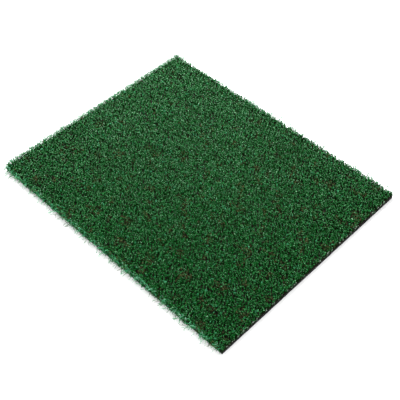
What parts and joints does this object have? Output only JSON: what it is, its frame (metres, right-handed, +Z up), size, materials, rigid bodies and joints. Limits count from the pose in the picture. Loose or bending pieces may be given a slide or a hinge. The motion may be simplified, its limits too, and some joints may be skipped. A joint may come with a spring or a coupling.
{
  "type": "golf hitting mat",
  "caption": "Rectangular golf hitting mat: a dense pile of curled green turf yarn, tufted in straight rows through a woven backing and bonded to a black foam pad.",
  "frame": {"origin": "centre of the underside of the foam pad, on the surface that the mat lies on", "axes": "+X along the tuft rows and the mat's long side, +Y across the rows, +Z up, the way the pile faces"},
  "size_m": [0.5, 0.4, 0.0135],
  "materials": {
    "foam": "matte black closed-cell foam with a fine cell grain and knife-cut edges",
    "latex": "matte dark grey filled latex, slightly rough",
    "backing": "matte dark brown and black woven flat tape",
    "pile": "semi-matte curled plastic yarn in mixed mid and grey greens"
  },
  "bodies": {
    "root": {"foam_base": "foam", "latex_coat": "latex", "primary_backing": "backing", "tuft_row_01": "pile", "tuft_row_02": "pile", "tuft_row_03": "pile", "tuft_row_04": "pile", "tuft_row_05": "pile", "tuft_row_06": "pile", "tuft_row_07": "pile", "tuft_row_08": "pile", "tuft_row_09": "pile", "tuft_row_10": "pile", "tuft_row_11": "pile", "tuft_row_12": "pile", "tuft_row_13": "pile", "tuft_row_14": "pile", "tuft_row_15": "pile", "tuft_row_16": "pile", "tuft_row_17": "pile", "tuft_row_18": "pile", "tuft_row_19": "pile", "tuft_row_20": "pile", "tuft_row_21": "pile", "tuft_row_22": "pile", "tuft_row_23": "pile", "tuft_row_24": "pile", "tuft_row_25": "pile", "tuft_row_26": "pile", "tuft_row_27": "pile", "tuft_row_28": "pile", "tuft_row_29": "pile", "tuft_row_30": "pile", "tuft_row_31": "pile", "tuft_row_32": "pile", "tuft_row_33": "pile", "tuft_row_34": "pile", "tuft_row_35": "pile", "tuft_row_36": "pile", "tuft_row_37": "pile", "tuft_row_38": "pile", "tuft_row_39": "pile", "tuft_row_40": "pile", "tuft_row_41": "pile", "tuft_row_42": "pile"}
  },
  "joints": []
}
